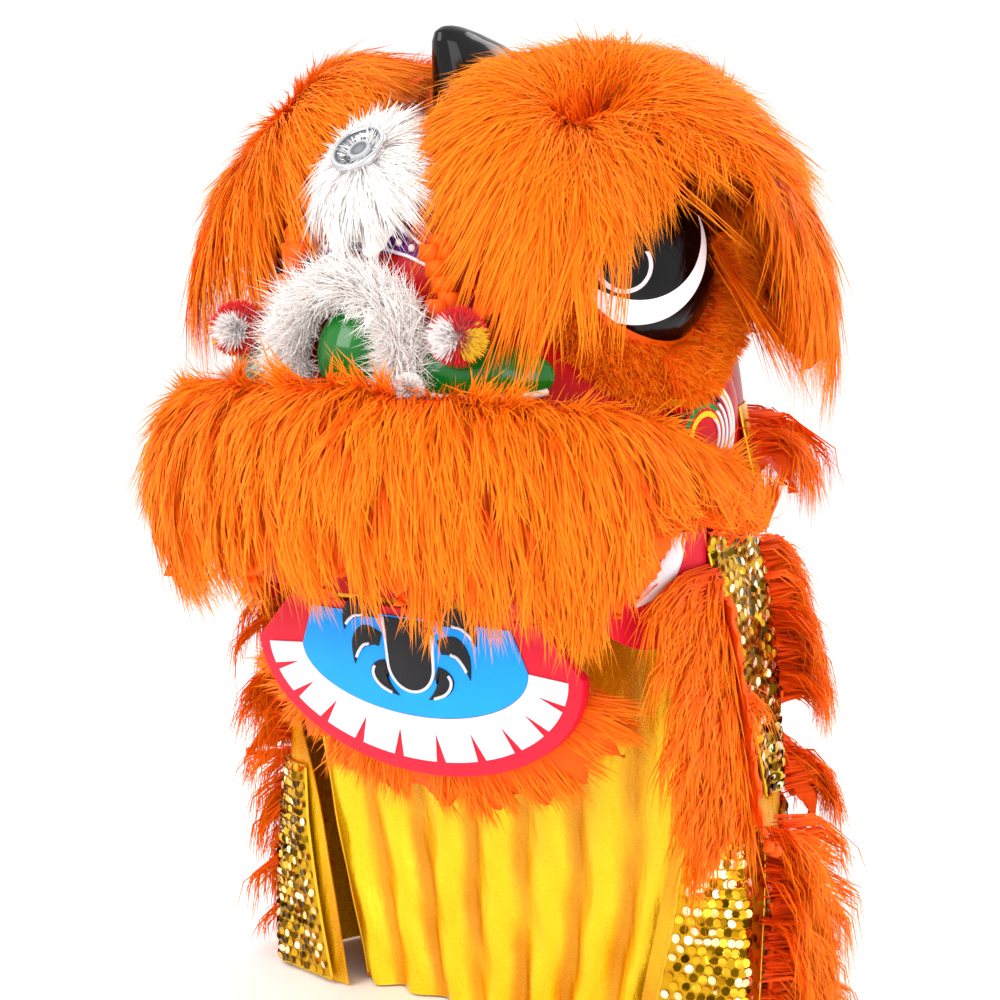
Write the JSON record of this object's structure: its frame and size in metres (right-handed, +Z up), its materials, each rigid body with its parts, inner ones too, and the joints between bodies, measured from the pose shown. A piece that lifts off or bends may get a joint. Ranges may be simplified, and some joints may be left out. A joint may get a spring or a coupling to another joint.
{
  "type": "lion dance head",
  "caption": "Lion dance head in orange fur with a black horn, forehead mirror, green nose, swinging jaw and a gold sequin and satin neck cape.",
  "frame": {"origin": "middle of the open lower rim of the head shell, where the dancer carries it", "axes": "+Z up, the lion faces -Y, +X to the lion's left"},
  "size_m": [0.669, 0.6411, 0.9907],
  "materials": {
    "orange_fur": "long pile fur",
    "white_fur": "long pile fur",
    "red_paint": "gloss paint",
    "black_gloss": "gloss paint",
    "green_gloss": "gloss paint",
    "chrome": "polished",
    "white_foam": "foam sheet",
    "blue_foam": "foam sheet",
    "red_foam": "foam board",
    "black_foam": "foam sheet",
    "satin": "satin",
    "sequin": "sequins on lame",
    "steel": "plain rod",
    "pompom": "wool pompom"
  },
  "bodies": {
    "head": {"bib": "satin", "bib_rail": "steel", "brow_fur_left": "orange_fur", "brow_fur_right": "orange_fur", "cape_skirt": "satin", "cheek_left": "red_paint", "cheek_right": "red_paint", "collar": "satin", "eye_left": "black_gloss", "eye_right": "black_gloss", "eye_rim_left": "orange_fur", "eye_rim_right": "orange_fur", "fang_left": "white_foam", "fang_right": "white_foam", "head_shell": "red_paint", "horn": "black_gloss", "jaw_pin": "steel", "lappet_back_lower": "sequin", "lappet_back_upper": "sequin", "lappet_lower_left": "sequin", "lappet_lower_right": "sequin", "lappet_upper_left": "sequin", "lappet_upper_right": "sequin", "lip_fur": "orange_fur", "lip_pompom_left": "white_fur", "lip_pompom_right": "white_fur", "mirror": "chrome", "mirror_fur": "white_fur", "mouth_side_left": "red_foam", "mouth_side_right": "red_foam", "nose_ball": "green_gloss", "nose_fur": "white_fur", "nose_pompom_left": "pompom", "nose_pompom_right": "pompom", "nose_wing_left": "green_gloss", "nose_wing_right": "green_gloss", "ruff": "orange_fur", "temple_fur_left": "orange_fur", "temple_fur_right": "orange_fur", "trim_back": "orange_fur", "trim_front_left": "orange_fur", "trim_front_right": "orange_fur", "trim_low_left": "orange_fur", "trim_low_right": "orange_fur", "trim_side_left": "orange_fur", "trim_side_right": "orange_fur"},
    "jaw": {"jaw_board": "red_foam", "jaw_teeth": "white_foam", "jaw_floor": "blue_foam", "jaw_tongue": "black_foam", "jaw_beard": "orange_fur"}
  },
  "joints": [
    {"name": "jaw_swing", "type": "hinge", "parent": "head", "child": "jaw", "pos_m": [0, -0.145, -0.012], "axis": [-1, 0, 0], "range_deg": [0, 80]}
  ]
}
